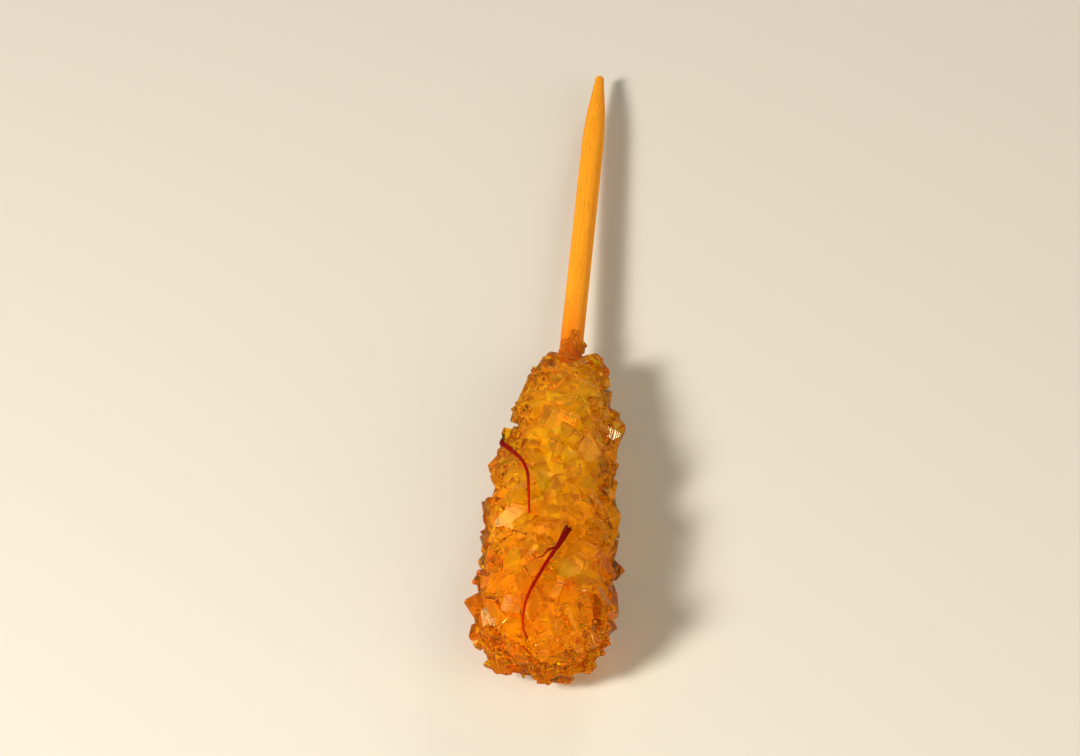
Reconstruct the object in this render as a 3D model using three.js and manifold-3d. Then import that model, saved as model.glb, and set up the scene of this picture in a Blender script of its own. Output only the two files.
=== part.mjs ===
// Rock candy stick: amber sugar crystals grown round one end of a pointed wooden skewer, with
// saffron threads caught among them. It lies on its side, as it does on a table.
// Millimetres, +Z up. The stick runs along +Y, from the candy to its bare point.
import * as THREE from "three";
import { mergeVertices } from "three/addons/utils/BufferGeometryUtils.js";
import Module from "manifold-3d";

const wasm = await Module();
wasm.setup();

// The wooden skewer
const STICK_DIAMETER = 4;
const STICK_LENGTH = 140;
const STICK_POINT_LENGTH = 17;
const STICK_SHOULDER = { before: 9.4, diameter: 3.3 }; // where the point gets steeper, before the tip
const STICK_TIP_DIAMETER = 1.5;
const STICK_SIDES = 20;
const STICK_START = 4; // from the candy's outer end to the stick's buried end

// The candy: a club, fat at its outer end and narrow where the bare stick leaves it
const CANDY_LENGTH = 66;
const CANDY_RADIUS = 11.3;
const NECK_RADIUS = 7.9;
const TAPER_FROM = 6;
const TAPER_TO = 62;
const END_BLUNTNESS = 0.3; // nearer 0 is a squarer end
const END_OPENING = 1e-6; // keeps the outline's ends from closing to a point with no direction
const CANDY_FLATNESS = 0.88; // height over width
const BORE_GAP = 0.3; // between the candy and the stick inside it
const BORE_SIDES = 16;

// Its slow swellings: size as a share of the radius, waves round the stick, and radians of a wave
// for each stretch of length
const LUMP_STRETCH = 10;
const LUMPS = [
  { size: 0.05, turns: 1, perStretch: 1.3, phase: 0.6 },
  { size: 0.035, turns: 2, perStretch: -2.1, phase: 2.2 },
  { size: 0.025, turns: 3, perStretch: 3.4, phase: 4.1 },
];

// The crystals
const CRYSTAL_COUNT = 216;
const CRYSTAL_LENGTH = { least: 4.2, most: 7 };
const CRYSTAL_WIDTH = { least: 0.6, most: 0.84 }; // of its length
const CRYSTAL_THICKNESS = { least: 0.5, most: 0.7 }; // of its length
const CRYSTAL_DEPTH = 1.75; // from the candy's outer surface to a crystal's middle
const CRYSTAL_LEAN = { least: -24, most: 32 }; // degrees out of the surface
const CRYSTAL_SLANT = 0.22; // sideways lean of its section, as sugar's crystals have
const CRYSTAL_RAKE = { across: 0.34, aside: 0.16 }; // slope of its ends

// The grown-together sugar under them
const CORE_DEPTH = 2.1; // from the candy's outer surface
const CORE_RINGS = 13;
const CORE_SPOKES = 18;

// How they are spread
const GOLDEN_ANGLE = Math.PI * (3 - Math.sqrt(5));
const OUTLINE_STEPS = 600;
const SEED = 7;
const HASH = { index: 12.9898, purpose: 78.233, spread: 43758.5453 };
const PURPOSE = { heading: 1, lean: 2, spin: 3, length: 4, width: 5, thickness: 6 }; // of a draw
const MERGE_WITHIN = 1e-4; // how near two corners are to be one

// The saffron threads: where each starts, where it ends and how far its middle bows aside, in
// radians round the stick. A place is [distance from the candy's outer end, degrees round the
// stick, 90 being the top].
const THREAD_RADIUS = 0.36;
const THREAD_HEIGHT = 0.15; // of its middle over the candy's outer surface
const THREAD_SIDES = 6;
const THREAD_STEPS = 7;
const THREAD_POINTS = 5; // that its curve is drawn through
const THREADS = [
  { from: [46, 172], to: [23, 109], bow: -0.34 },
  { from: [18.5, 73], to: [0.05, 113], bow: -0.02 },
  { from: [13.9, 82], to: [11, 100], bow: -0.03 },
  { from: [57, 200], to: [48, 232], bow: -0.14 },
  { from: [50, -6], to: [37, -30], bow: 0.1 },
  { from: [24, -20], to: [12, -44], bow: -0.12 },
  { from: [14, 205], to: [25, 240], bow: 0.12 },
  { from: [31, 262], to: [45, 290], bow: -0.12 },
];

// How it lies
const LYING_TILT = 2.6; // degrees that the bare point dips
const LYING_HEIGHT = 10.3; // of the stick's axis at the candy's outer end
const TABLE = { width: 100, depth: 20 }; // the block that trims the crystals flat

/** A repeatable draw from 0 to 1, the same for the same crystal and purpose. */
function draw(index, purpose) {
  const wave = Math.sin((index + SEED) * HASH.index + purpose * HASH.purpose) * HASH.spread;
  return wave - Math.floor(wave);
}

/** The value that lies at a share of a range. */
function between(range, share) {
  return range.least + (range.most - range.least) * share;
}

/** The candy's outline, from its outer end (share 0) to its neck (share 1). */
function outlineAt(share) {
  const turn = Math.PI * share;
  const station = (CANDY_LENGTH * (1 - Math.cos(turn))) / 2;
  const taper = THREE.MathUtils.smoothstep(station, TAPER_FROM, TAPER_TO);
  const body = THREE.MathUtils.lerp(CANDY_RADIUS, NECK_RADIUS, taper);
  return { station, radius: body * Math.max(Math.sin(turn), END_OPENING) ** END_BLUNTNESS };
}

/** A point on the candy's outer surface, or the given depth under it. */
function surfacePoint(share, angle, depth = 0) {
  const { station, radius } = outlineAt(share);
  const stretches = station / LUMP_STRETCH;
  const swell = LUMPS.reduce(
    (sum, lump) =>
      sum + lump.size * Math.sin(lump.turns * angle + lump.perStretch * stretches + lump.phase),
    1,
  );
  const inset = Math.max(radius * swell - depth, 0);
  const middle = CANDY_LENGTH / 2;
  const shrink = 1 - depth / middle;
  return new THREE.Vector3(
    inset * Math.cos(angle),
    middle + (station - middle) * shrink,
    inset * Math.sin(angle) * CANDY_FLATNESS,
  );
}

/** Which way the candy's surface faces. */
function surfaceNormal(share, angle) {
  const step = 0.01;
  const inside = THREE.MathUtils.clamp(share, 2 * step, 1 - 2 * step);
  const along = surfacePoint(inside + step, angle).sub(surfacePoint(inside - step, angle));
  const round = surfacePoint(inside, angle + step).sub(surfacePoint(inside, angle - step));
  return round.cross(along).negate().normalize();
}

/** The shares of the outline that part the candy's surface into rings of equal area. */
function evenShares(count) {
  const areas = [0];
  for (let i = 0; i < OUTLINE_STEPS; i++) {
    const here = outlineAt(i / OUTLINE_STEPS);
    const next = outlineAt((i + 1) / OUTLINE_STEPS);
    const run = Math.hypot(next.station - here.station, next.radius - here.radius);
    areas.push(areas[i] + (run * (here.radius + next.radius)) / 2);
  }
  const shares = [];
  for (let i = 0, step = 0; i < count; i++) {
    const wanted = (areas[OUTLINE_STEPS] * (i + 0.5)) / count;
    while (areas[step + 1] < wanted) step++;
    const part = (wanted - areas[step]) / (areas[step + 1] - areas[step]);
    shares.push((step + part) / OUTLINE_STEPS);
  }
  return shares;
}

/** A closed geometry as a solid that can be joined and cut. */
function solidOf(geometry) {
  const bare = geometry.clone();
  bare.deleteAttribute("normal");
  bare.deleteAttribute("uv");
  const merged = mergeVertices(bare, MERGE_WITHIN);
  return new wasm.Manifold(
    new wasm.Mesh({
      numProp: 3,
      vertProperties: merged.attributes.position.array,
      triVerts: new Uint32Array(merged.index.array),
    }),
  );
}

/** A solid's faces as a geometry with flat shading. */
function geometryOf(solid) {
  const mesh = solid.getMesh();
  const indexed = new THREE.BufferGeometry()
    .setAttribute("position", new THREE.BufferAttribute(mesh.vertProperties, 3))
    .setIndex(new THREE.BufferAttribute(mesh.triVerts, 1));
  const faceted = indexed.toNonIndexed();
  faceted.computeVertexNormals();
  return faceted;
}

/** One sugar crystal: a slanted block with raked ends, long along Y. */
function crystalGeometry(length, width, thickness) {
  const { across, aside } = CRYSTAL_RAKE;
  const lean = new THREE.Matrix4().set(
    1, 0, CRYSTAL_SLANT, 0,
    -across, 1, aside, 0,
    0, 0, 1, 0,
    0, 0, 0, 1,
  );
  return new THREE.BoxGeometry(thickness, length, width).applyMatrix4(lean);
}

/** The crystal's place in the candy: its middle under the surface, its length near the surface. */
function crystalPlace(index, share) {
  const angle = index * GOLDEN_ANGLE;
  const outwards = surfaceNormal(share, angle);
  const heading = draw(index, PURPOSE.heading) * 2 * Math.PI;
  const lean = THREE.MathUtils.degToRad(between(CRYSTAL_LEAN, draw(index, PURPOSE.lean)));
  const spin = draw(index, PURPOSE.spin) * 2 * Math.PI;
  const upright = new THREE.Quaternion().setFromUnitVectors(new THREE.Vector3(0, 0, 1), outwards);
  const turned = new THREE.Quaternion().setFromEuler(new THREE.Euler(lean, spin, heading, "ZXY"));
  return new THREE.Matrix4().compose(
    surfacePoint(share, angle, CRYSTAL_DEPTH),
    upright.multiply(turned),
    new THREE.Vector3(1, 1, 1),
  );
}

/** One crystal at its own size and place. */
function crystalSolid(index, share) {
  const length = between(CRYSTAL_LENGTH, draw(index, PURPOSE.length));
  const width = length * between(CRYSTAL_WIDTH, draw(index, PURPOSE.width));
  const thickness = length * between(CRYSTAL_THICKNESS, draw(index, PURPOSE.thickness));
  const crystal = crystalGeometry(length, width, thickness);
  return solidOf(crystal.applyMatrix4(crystalPlace(index, share)));
}

/** The grown-together middle of the candy, under its crystals. */
function coreSolid() {
  const profile = [];
  for (let ring = 0; ring <= CORE_RINGS; ring++) {
    const inner = ring > 0 && ring < CORE_RINGS;
    profile.push(new THREE.Vector2(inner ? 1 : 0, ring / CORE_RINGS));
  }
  const core = new THREE.LatheGeometry(profile, CORE_SPOKES);
  const position = core.attributes.position;
  for (let i = 0; i < position.count; i++) {
    const share = position.getY(i);
    const angle = Math.atan2(position.getZ(i), position.getX(i));
    const point = surfacePoint(share, angle, CORE_DEPTH);
    const onAxis = Math.hypot(position.getX(i), position.getZ(i)) < 0.5;
    position.setXYZ(i, onAxis ? 0 : point.x, point.y, onAxis ? 0 : point.z);
  }
  return solidOf(core);
}

/** The share of the outline at a distance from the candy's outer end. */
function shareAt(station) {
  return Math.acos(1 - (2 * station) / CANDY_LENGTH) / Math.PI;
}

/** A saffron thread: a thin strand that follows the candy's surface. */
function threadSolid({ from, to, bow }) {
  const points = [];
  for (let i = 0; i < THREAD_POINTS; i++) {
    const along = i / (THREAD_POINTS - 1);
    const station = THREE.MathUtils.lerp(from[0], to[0], along);
    const aside = bow * Math.sin(Math.PI * along);
    const angle = THREE.MathUtils.degToRad(THREE.MathUtils.lerp(from[1], to[1], along)) + aside;
    points.push(surfacePoint(shareAt(station), angle, -THREAD_HEIGHT));
  }
  const section = new THREE.Shape();
  for (let side = 0; side < THREAD_SIDES; side++) {
    const turn = (2 * Math.PI * side) / THREAD_SIDES;
    const x = THREAD_RADIUS * Math.cos(turn);
    const y = THREAD_RADIUS * Math.sin(turn);
    if (side) section.lineTo(x, y);
    else section.moveTo(x, y);
  }
  const extrudePath = new THREE.CatmullRomCurve3(points);
  return solidOf(new THREE.ExtrudeGeometry(section, { steps: THREAD_STEPS, extrudePath }));
}

/** The hole that the stick fills, open at the candy's neck. */
function boreSolid() {
  const radius = (STICK_DIAMETER / 2 + BORE_GAP) / Math.cos(Math.PI / BORE_SIDES);
  const start = STICK_START - BORE_GAP;
  const length = CANDY_LENGTH + CRYSTAL_LENGTH.most - start;
  const bore = new THREE.CylinderGeometry(radius, radius, length, BORE_SIDES);
  return solidOf(bore.translate(0, start + length / 2, 0));
}

/** All that would lie under the table, in the stick's own frame. */
function underTableSolid(lying) {
  const table = new THREE.BoxGeometry(TABLE.width, 2 * STICK_LENGTH, TABLE.depth);
  table.translate(0, 0, -TABLE.depth / 2);
  return solidOf(table.applyMatrix4(lying.clone().invert()));
}

/** The solid without its sealed hollows and loose scraps. */
function outerBody(solid) {
  return solid.decompose().reduce((best, body) => (body.volume() > best.volume() ? body : best));
}

/** The candy: crystals and threads grown onto their core, bored for the stick and cut flat below. */
function candyMesh(lying) {
  const crystals = evenShares(CRYSTAL_COUNT).map((share, index) => crystalSolid(index, share));
  const threads = THREADS.map(threadSolid);
  const grown = [...crystals, ...threads].reduce((sum, solid) => sum.add(solid), coreSolid());
  const bored = outerBody(grown).subtract(boreSolid());
  const candy = outerBody(bored.subtract(underTableSolid(lying)));
  const sugar = new THREE.MeshStandardMaterial({ color: 0xd87c0a, roughness: 0.18, metalness: 0 });
  const mesh = new THREE.Mesh(geometryOf(candy), sugar);
  mesh.name = "crystals";
  return mesh;
}

/** The skewer, with its blunt-tipped point. */
function stickMesh() {
  const radius = STICK_DIAMETER / 2;
  const end = STICK_START + STICK_LENGTH;
  const outline = [
    new THREE.Vector2(0, STICK_START),
    new THREE.Vector2(radius, STICK_START),
    new THREE.Vector2(radius, end - STICK_POINT_LENGTH),
    new THREE.Vector2(STICK_SHOULDER.diameter / 2, end - STICK_SHOULDER.before),
    new THREE.Vector2(STICK_TIP_DIAMETER / 2, end),
    new THREE.Vector2(0, end),
  ];
  const wood = new THREE.MeshStandardMaterial({ color: 0xeca444, roughness: 0.6, metalness: 0 });
  const mesh = new THREE.Mesh(new THREE.LatheGeometry(outline, STICK_SIDES), wood);
  mesh.name = "stick";
  return mesh;
}

/** The stick and its candy, turned and lifted to lie on the table, over the origin. */
function rockCandyStick() {
  const lying = new THREE.Group();
  lying.rotation.x = THREE.MathUtils.degToRad(-LYING_TILT);
  lying.position.z = LYING_HEIGHT;
  lying.updateMatrix();
  lying.add(candyMesh(lying.matrix), stickMesh());
  const part = new THREE.Group().add(lying);
  const middle = new THREE.Box3().setFromObject(part, true).getCenter(new THREE.Vector3());
  part.position.set(-middle.x, -middle.y, 0);
  return part;
}

export default rockCandyStick();
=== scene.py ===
import logging
import math
from dataclasses import dataclass, field
from enum import Enum
from itertools import product

import bmesh
import bpy
import numpy as np
from mathutils import Matrix, Vector
from mathutils.bvhtree import BVHTree


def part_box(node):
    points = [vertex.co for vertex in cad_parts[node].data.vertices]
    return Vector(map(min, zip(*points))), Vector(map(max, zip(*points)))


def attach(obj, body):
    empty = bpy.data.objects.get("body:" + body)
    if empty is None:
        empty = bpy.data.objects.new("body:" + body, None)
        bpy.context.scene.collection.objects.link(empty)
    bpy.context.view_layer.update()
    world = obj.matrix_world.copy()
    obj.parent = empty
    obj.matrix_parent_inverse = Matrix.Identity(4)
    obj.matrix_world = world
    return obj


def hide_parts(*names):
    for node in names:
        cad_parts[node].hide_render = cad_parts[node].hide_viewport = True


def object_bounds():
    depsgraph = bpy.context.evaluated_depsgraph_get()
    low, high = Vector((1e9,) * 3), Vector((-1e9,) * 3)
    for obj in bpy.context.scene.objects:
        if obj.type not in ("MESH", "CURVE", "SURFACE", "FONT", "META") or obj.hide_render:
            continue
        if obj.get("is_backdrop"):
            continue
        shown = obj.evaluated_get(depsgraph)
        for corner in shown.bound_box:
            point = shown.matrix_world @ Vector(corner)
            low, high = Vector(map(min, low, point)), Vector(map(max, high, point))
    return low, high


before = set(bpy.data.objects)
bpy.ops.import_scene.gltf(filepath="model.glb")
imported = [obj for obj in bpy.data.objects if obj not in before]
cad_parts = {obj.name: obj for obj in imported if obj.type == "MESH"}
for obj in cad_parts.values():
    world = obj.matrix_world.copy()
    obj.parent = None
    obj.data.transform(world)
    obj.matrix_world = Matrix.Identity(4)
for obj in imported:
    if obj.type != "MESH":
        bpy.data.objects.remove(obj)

# Looks of a saffron rock candy stick: amber sugar crystals grown round one end of a pointed wooden
# skewer, with saffron threads caught among them. Every piece is shaped in millimetres in the
# skewer's own frame (+Y from the candy's outer end to the bare point, +Z up) and then laid down on
# the table, in metres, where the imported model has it. A station is a distance from the candy's
# outer end. Sizes in the finishes and the studio are in metres.

log = logging.getLogger("rock_candy_stick")

Colour = tuple[float, float, float]  # linear red, green and blue
Axes = tuple[float, float, float]  # one number each for X, Y and Z

MM = 0.001
UP = Vector((0.0, 0.0, 1.0)).freeze()
GOLDEN_ANGLE = math.pi * (3.0 - math.sqrt(5.0))
HALF_CUBE = 0.5  # from a unit cube's middle to its faces
STRETCH = 10.0  # how many millimetres of the skewer a wave's per_stretch is for

# A draw is what is left of a very fast wave after the point
SEED = 7
HASH_INDEX = 12.9898
HASH_PURPOSE = 78.233
HASH_SPREAD = 43758.5453

# The colour sockets of a Mix node go by number, as its other kinds of socket share their names
MIX_ONE = 6
MIX_OTHER = 7
MIX_RESULT = 2


@dataclass(frozen=True)
class Range:
    """The least and the most that a size may be."""

    least: float
    most: float

    @property
    def span(self) -> float:
        """How far apart the two are."""
        return self.most - self.least

    def at(self, share: float) -> float:
        """The value that lies at a share of the range."""
        return self.least + self.span * share

    def share(self, value: float) -> float:
        """How far a value lies along the range, from 0 to 1."""
        return min(max((value - self.least) / self.span, 0.0), 1.0)

    def eased(self, value: float) -> float:
        """How far a value lies along the range, from 0 to 1, eased at both ends."""
        share = self.share(value)
        return share * share * (3.0 - 2.0 * share)


WHOLE = Range(0.0, 1.0)


@dataclass(frozen=True)
class Wave:
    """A wave round and along the skewer: its size, its waves round, its radians for each stretch."""

    size: float
    turns: float
    per_stretch: float = 0.0
    phase: float = 0.0

    def height(self, angle: float, station: float = 0.0) -> float:
        """How high the wave stands at an angle and a station."""
        along = self.per_stretch * station / STRETCH
        return self.size * math.sin(self.turns * angle + along + self.phase)


class Purpose(Enum):
    """What a draw is for, so that no draw is used twice."""

    HEADING = 1
    LEAN = 2
    SPIN = 3
    LENGTH = 4
    WIDTH = 5
    THICKNESS = 6
    FORM = 7
    TINT = 8
    FROST = 9
    SINK = 10
    JITTER = 11
    HEIGHT = 12
    TWIN = 13
    TWIN_ASIDE = 14
    TWIN_ALONG = 15
    SIDE_CUT = 21
    SIDE_CUT_DEPTH = 22
    END_CUT_ACROSS = 23
    END_CUT_DEPTH = 24
    END_CUT_SLOPE = 25
    END_CUT_ASIDE = 26

    def drawn(self, index: int) -> float:
        """A repeatable draw from 0 to 1 for this purpose, by the number of a crystal or a cut."""
        wave = math.sin((index + SEED) * HASH_INDEX + self.value * HASH_PURPOSE) * HASH_SPREAD
        return wave - math.floor(wave)


class Change(Enum):
    """How one mesh changes another."""

    JOIN = "UNION"
    CUT = "DIFFERENCE"


class Blend(Enum):
    """How a colour is laid over another."""

    COVER = "MIX"
    SOAK = "MULTIPLY"


@dataclass(frozen=True)
class Form:
    """A closed shape as its corner points and its faces."""

    points: np.ndarray
    faces: tuple[tuple[int, ...], ...]

    def laid(self, place: Matrix) -> "Form":
        """The shape moved by a matrix."""
        turn = np.array(place)
        return Form(self.points @ turn[:3, :3].T + turn[:3, 3], self.faces)

    def inside_out(self) -> "Form":
        """The shape with its faces turned the other way."""
        return Form(self.points, tuple((face[0], *face[:0:-1]) for face in self.faces))


def merged(forms: list[Form]) -> Form:
    """Several shapes as one.

    Args:
        forms: The shapes, which keep their order.

    Returns:
        All their points and faces.
    """
    starts = np.cumsum([0] + [len(form.points) for form in forms]).tolist()
    faces = [
        tuple(start + corner for corner in face)
        for form, start in zip(forms, starts)
        for face in form.faces
    ]
    return Form(np.concatenate([form.points for form in forms]), tuple(faces))


def tube(rings: list[list[Vector]], near_cap: Vector, far_cap: Vector) -> Form:
    """A closed skin over rings of points.

    Args:
        rings: The rings, all with the same number of points.
        near_cap: The point that closes the first ring.
        far_cap: The point that closes the last ring.

    Returns:
        The skin.
    """
    sides = len(rings[0])
    points = [near_cap] + [point for ring in rings for point in ring] + [far_cap]
    last = len(points) - 1
    faces = []
    for side in range(sides):
        beside = (side + 1) % sides
        faces.append((0, 1 + beside, 1 + side))
        for ring in range(len(rings) - 1):
            near = 1 + ring * sides
            far = near + sides
            faces.append((near + side, near + beside, far + beside, far + side))
        faces.append((last, last - sides + side, last - sides + beside))
    return Form(np.array(points), tuple(faces))


def off_middle(station: float, turn: float, radius: float) -> Vector:
    """The point at a radius from the skewer's middle line, at a turn from its top."""
    return Vector((radius * math.sin(turn), station, radius * math.cos(turn)))


@dataclass(frozen=True)
class CandyForm:
    """The candy's smooth form: a club, fat at its outer end and narrow at its neck."""

    length: float = 66.0
    radius: float = 11.3
    neck_radius: float = 7.9
    taper: Range = Range(6.0, 62.0)
    end_bluntness: float = 0.3
    end_opening: float = 1e-6
    flatness: float = 0.88
    lumps: tuple[Wave, ...] = (
        Wave(0.05, 1.0, 1.3, 0.6),
        Wave(0.035, 2.0, -2.1, 2.2),
        Wave(0.025, 3.0, 3.4, 4.1),
    )
    outline_steps: int = 600
    probe: float = 0.01

    def outline(self, share: float) -> tuple[float, float]:
        """The outline from the outer end to the neck.

        Args:
            share: How far along the outline, from 0 to 1.

        Returns:
            The station, and the radius there.
        """
        turn = math.pi * share
        station = self.length * (1.0 - math.cos(turn)) / 2.0
        body = self.radius + (self.neck_radius - self.radius) * self.taper.eased(station)
        return station, body * max(math.sin(turn), self.end_opening) ** self.end_bluntness

    def point(self, share: float, angle: float, depth: float = 0.0) -> Vector:
        """A point on the candy's outer surface, or under it.

        Args:
            share: How far along the outline, from 0 to 1.
            angle: Turn round the skewer in radians, a quarter turn being the top.
            depth: How far under the outer surface the point lies.

        Returns:
            The point in the skewer's own frame.
        """
        station, radius = self.outline(share)
        swell = sum((lump.height(angle, station) for lump in self.lumps), start=1.0)
        inset = max(radius * swell - depth, 0.0)
        middle = self.length / 2.0
        along = middle + (station - middle) * (1.0 - depth / middle)
        return Vector((inset * math.cos(angle), along, inset * math.sin(angle) * self.flatness))

    def normal(self, share: float, angle: float) -> Vector:
        """Which way the candy's surface faces.

        Args:
            share: How far along the outline, from 0 to 1.
            angle: Turn round the skewer in radians.

        Returns:
            The outward direction, of length 1.
        """
        step = self.probe
        inside = min(max(share, 2.0 * step), 1.0 - 2.0 * step)
        along = self.point(inside + step, angle) - self.point(inside - step, angle)
        around = self.point(inside, angle + step) - self.point(inside, angle - step)
        return -around.cross(along).normalized()

    def even_shares(self, count: int) -> list[float]:
        """Shares of the outline that part the surface into rings of equal area.

        Args:
            count: How many rings.

        Returns:
            The share at the middle of each ring.
        """
        areas = [0.0]
        for i in range(self.outline_steps):
            station, radius = self.outline(i / self.outline_steps)
            next_station, next_radius = self.outline((i + 1) / self.outline_steps)
            run = math.hypot(next_station - station, next_radius - radius)
            areas.append(areas[-1] + run * (radius + next_radius) / 2.0)
        wanted = [areas[-1] * (i + 0.5) / count for i in range(count)]
        return list(np.interp(wanted, areas, np.linspace(0.0, 1.0, self.outline_steps + 1)))

    def share_at(self, station: float) -> float:
        """The share of the outline at a station."""
        return math.acos(1.0 - 2.0 * station / self.length) / math.pi


@dataclass(frozen=True)
class SkewerForm:
    """The skewer's size: a round stick with a blunt-tipped point."""

    radius: float = 2.0
    start: float = 4.0
    length: float = 140.0
    point_length: float = 17.0
    shoulder_before: float = 9.4
    shoulder_radius: float = 1.65
    tip_radius: float = 0.75

    @property
    def end(self) -> float:
        """The station of the tip."""
        return self.start + self.length

    def radius_at(self, station: float) -> float:
        """The radius at a station."""
        stations = (self.end - self.point_length, self.end - self.shoulder_before, self.end)
        return float(np.interp(station, stations, (self.radius, self.shoulder_radius, self.tip_radius)))


@dataclass(frozen=True)
class Lying:
    """How the stick lies on the table: its tilt in degrees and its outer end's height."""

    tilt: float = 2.6
    height: float = 10.3

    def place(self, skewer: SkewerForm) -> Matrix:
        """Where the skewer's own frame lies.

        Args:
            skewer: The skewer's size, which fixes how far its tip reaches.

        Returns:
            The matrix from the skewer's frame in millimetres to the part's in metres.
        """
        low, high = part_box("stick")
        turn = math.radians(self.tilt)
        reach = skewer.end * math.cos(turn) + skewer.tip_radius * math.sin(turn)
        shift = Vector(((low.x + high.x) / 2.0 / MM, high.y / MM - reach, self.height))
        return Matrix.Scale(MM, 4) @ Matrix.Translation(shift) @ Matrix.Rotation(-turn, 4, "X")


@dataclass(frozen=True)
class CrystalForms:
    """The forms that crystals come in: slanted blocks whose edges are cut off unevenly.

    A form lies in a unit cube, with its thickness along X, its length along Y and its width along
    Z. The shares named whole are those of the edges that aren't cut.
    """

    count: int = 16
    slant: float = 0.22
    rake_across: float = 0.34
    rake_aside: float = 0.16
    side_cut: Range = Range(0.04, 0.3)
    end_cut: Range = Range(0.05, 0.34)
    end_slope: Range = Range(0.35, 0.9)
    sides_whole: float = 0.35
    ends_whole_across: float = 0.4
    ends_whole_aside: float = 0.62
    draws_each: int = 40
    worn: float = 0.022
    merged_within: float = 0.0011

    def slanted(self, size: Vector) -> Matrix:
        """A block's slanted shape at a size.

        Args:
            size: Its thickness, length and width.

        Returns:
            The matrix that turns a unit cube into that block.
        """
        lean = Matrix.Identity(4)
        lean[0][2] = self.slant
        lean[1][0] = -self.rake_across
        lean[1][2] = self.rake_aside
        return lean @ Matrix.Diagonal((*size, 1.0))

    def cuts(self, index: int) -> list[tuple[Vector, Vector]]:
        """The planes that cut off a form's edges.

        Args:
            index: Which form.

        Returns:
            A point on each plane and the direction that is cut away.
        """
        found = []
        for corner, (one, other) in enumerate(product((-1.0, 1.0), repeat=2)):
            number = index * self.draws_each + corner
            side = HALF_CUBE - self.side_cut.at(Purpose.SIDE_CUT_DEPTH.drawn(number)) / 2.0
            end = HALF_CUBE - self.end_cut.at(Purpose.END_CUT_DEPTH.drawn(number))
            slope = self.end_slope.at(Purpose.END_CUT_SLOPE.drawn(number))
            if Purpose.SIDE_CUT.drawn(number) > self.sides_whole:
                found.append((Vector((one * side, 0.0, other * side)), Vector((one, 0.0, other))))
            if Purpose.END_CUT_ACROSS.drawn(number) > self.ends_whole_across:
                place = Vector((one * HALF_CUBE, other * end, 0.0))
                found.append((place, Vector((one * slope, other, 0.0))))
            if Purpose.END_CUT_ASIDE.drawn(number) > self.ends_whole_aside:
                place = Vector((0.0, other * end, one * HALF_CUBE))
                found.append((place, Vector((0.0, other, one * slope))))
        return found

    def form(self, index: int) -> Form:
        """One form, cut from a unit cube and a little worn along its edges.

        Args:
            index: Which form.

        Returns:
            The form.
        """
        shape = bmesh.new()
        bmesh.ops.create_cube(shape, size=1.0)
        for place, outwards in self.cuts(index):
            geometry = shape.verts[:] + shape.edges[:] + shape.faces[:]
            cut = bmesh.ops.bisect_plane(
                shape, geom=geometry, plane_co=place, plane_no=outwards, clear_outer=True
            )
            rim = [edge for edge in cut["geom_cut"] if isinstance(edge, bmesh.types.BMEdge)]
            if len(rim) > 2:
                bmesh.ops.contextual_create(shape, geom=rim)
        bmesh.ops.bevel(
            shape, geom=shape.edges[:], offset=self.worn, affect="EDGES", clamp_overlap=True
        )
        bmesh.ops.remove_doubles(shape, verts=shape.verts[:], dist=self.merged_within)
        bmesh.ops.recalc_face_normals(shape, faces=shape.faces[:])
        shape.verts.index_update()
        points = np.array([vertex.co[:] for vertex in shape.verts])
        faces = tuple(tuple(vertex.index for vertex in face.verts) for face in shape.faces)
        shape.free()
        return Form(points, faces)


@dataclass(frozen=True)
class Crystal:
    """One closed shape of sugar in the skewer's own frame, and what its faces look like."""

    form: Form
    tint: float
    frost: float
    grain: Vector


@dataclass(frozen=True)
class Seat:
    """Where a crystal grows: its middle, and which way the surface under it faces."""

    middle: Vector
    outwards: Vector


@dataclass(frozen=True)
class CrystalLayer:
    """Crystals of one size, and the number of the first of them.

    Widths and thicknesses are shares of the length, and leans are degrees out of the surface.
    """

    name: str
    first: int
    length: Range
    width: Range
    thickness: Range
    lean: Range
    count: int = 0
    depth: float = 0.0
    sink: Range = Range(0.0, 0.3)
    highest: Range = Range(-0.8, 0.4)
    jitter: float = 0.5
    twins: float = 0.0


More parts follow.
